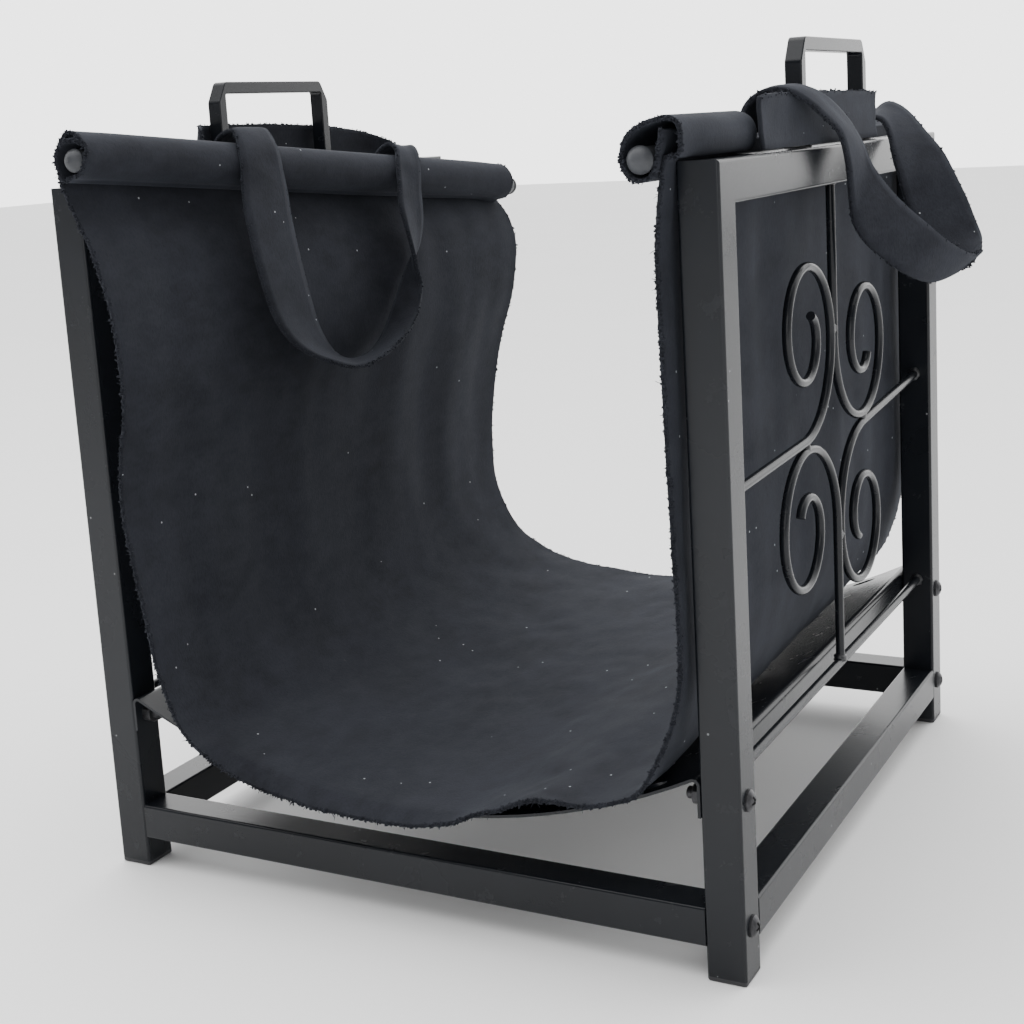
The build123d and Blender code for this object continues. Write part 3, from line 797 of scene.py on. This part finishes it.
def make_strap(side, near, far):
    """A carry strap, rooted in the hem."""
    rows = ribbon_rows(near, far, steps=7, crown=0.9)
    piece = suede_piece(f"{side}_carry_strap_suede", f"{side}_carry_strap", rows, STRAP_THICKNESS)
    edges = [
        rim_fray(f"{side}_strap_near_fray", rows, reach=1.3),
        rim_fray(f"{side}_strap_far_fray", rows[:, ::-1], reach=1.3),
    ]
    for strip in [piece, *edges]:
        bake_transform(strip)


def make_band(side, top, bottom):
    """A suede loop round a steel handle, with a raw top edge."""
    rows = ribbon_rows(top, bottom, steps=8, crown=0.5)
    piece = suede_piece(f"{side}_handle_band_suede", f"{side}_handle_band", rows, SUEDE)
    edge = rim_fray(f"{side}_band_fray", rows, reach=1.1)
    for strip in (piece, edge):
        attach(strip, "carrier")


def make_soft_goods():
    """The carrier; its random draws run in this order."""
    make_sling()
    make_band("left", LEFT_BAND_TOP, LEFT_BAND_BOTTOM)
    make_band("right", RIGHT_BAND_TOP, RIGHT_BAND_BOTTOM)
    make_strap(
        "left", LEFT_STRAP_NEAR, LEFT_STRAP_FAR,
    )
    make_strap(
        "right", RIGHT_STRAP_NEAR, RIGHT_STRAP_FAR,
    )


# ---- floor, light and camera ----


FLOOR_HALF = 9000.0


def make_floor():
    low, high = -FLOOR_HALF, FLOOR_HALF
    corners = [(low, low, 0), (high, low, 0), (high, high, 0), (low, high, 0)]
    mesh_piece("floor", corners, [(0, 1, 2, 3)], pale_floor())


def area_light(name, place, target, size, power, color=(1, 1, 1)):
    """A soft box, in metres and watts, turned to its target."""
    light = bpy.data.lights.new(name, "AREA")
    light.shape = "RECTANGLE"
    light.size, light.size_y = size
    light.energy = power
    light.color = color
    lamp = bpy.data.objects.new(name, light)
    lamp.location = place
    lamp.rotation_mode = "QUATERNION"
    lamp.rotation_quaternion = (Vector(target) - Vector(place)).to_track_quat("-Z", "Y")
    bpy.context.scene.collection.objects.link(lamp)


BRIGHT_SIDE = (-0.42, 0.86, 0.28)     # where the room's light comes from: behind, left and above
ROOM_DARK, ROOM_BRIGHT = 0.12, 3.3    # strength away from that side and towards it


def studio_world():
    """A soft room: bright behind the rack and above it, darker behind the camera."""
    world = bpy.data.worlds.new("studio")
    world.use_nodes = True
    tree = world.node_tree
    place = tree.nodes.new("ShaderNodeTexCoord")
    dot = tree.nodes.new("ShaderNodeVectorMath")
    dot.operation = "DOT_PRODUCT"
    dot.inputs[1].default_value = BRIGHT_SIDE
    level = tree.nodes.new("ShaderNodeMapRange")
    level.interpolation_type = "SMOOTHSTEP"
    limits = {"From Min": -0.35, "From Max": 0.65, "To Min": ROOM_DARK, "To Max": ROOM_BRIGHT}
    for name, value in limits.items():
        level.inputs[name].default_value = value
    tree.links.new(place.outputs["Generated"], dot.inputs[0])
    tree.links.new(dot.outputs["Value"], level.inputs["Value"])
    tree.links.new(level.outputs["Result"], tree.nodes["Background"].inputs["Strength"])
    tree.nodes["Background"].inputs["Color"].default_value = (1.0, 1.0, 1.0, 1.0)
    bpy.context.scene.world = world


def make_light():
    studio_world()
    area_light(
        "window", place=(2.3, -0.6, 0.9), target=(0.1, 0.0, 0.25), size=(2.0, 1.6), power=8.0,
        color=(1.0, 0.99, 0.97),
    )
    area_light(
        "overhead", place=(-0.2, -0.9, 2.4), target=(0.0, 0.0, 0.1), size=(2.2, 2.2), power=40.0)
    area_light(
        "front_fill", place=(1.0, -2.4, 1.0), target=(0.0, 0.0, 0.2), size=(1.3, 1.4), power=16.0)


CAMERA_PLACE = (0.4427, -0.8510, 0.4047)
CAMERA_YAW, CAMERA_PITCH, CAMERA_ROLL = -0.491, -0.185, -0.058
CAMERA_LENS, SENSOR_WIDTH = 57.23, 36.0
CAMERA_SHIFT = (-0.0129, -0.0814)


def make_camera():
    """The camera at the photograph's viewing angle, placed by yaw, pitch and roll."""
    yaw, pitch, roll = CAMERA_YAW, CAMERA_PITCH, CAMERA_ROLL
    ahead = Vector((
        math.cos(pitch) * math.sin(yaw), math.cos(pitch) * math.cos(yaw), math.sin(pitch),
    ))
    right = Vector((math.cos(yaw), -math.sin(yaw), 0))
    up = right.cross(ahead)
    right, up = (
        math.cos(roll) * right + math.sin(roll) * up,
        -math.sin(roll) * right + math.cos(roll) * up,
    )
    lens = bpy.data.cameras.new("photo_camera")
    lens.lens, lens.sensor_width = CAMERA_LENS, SENSOR_WIDTH
    lens.shift_x, lens.shift_y = CAMERA_SHIFT
    camera = bpy.data.objects.new("photo_camera", lens)
    camera.matrix_world = Matrix((
        (right.x, up.x, -ahead.x, CAMERA_PLACE[0]),
        (right.y, up.y, -ahead.y, CAMERA_PLACE[1]),
        (right.z, up.z, -ahead.z, CAMERA_PLACE[2]),
        (0, 0, 0, 1),
    ))
    bpy.context.scene.collection.objects.link(camera)
    bpy.context.scene.camera = camera


paint_nodes()
panel_welds("left", -1)
panel_welds("right", 1)
make_soft_goods()
make_floor()
make_light()
make_camera()
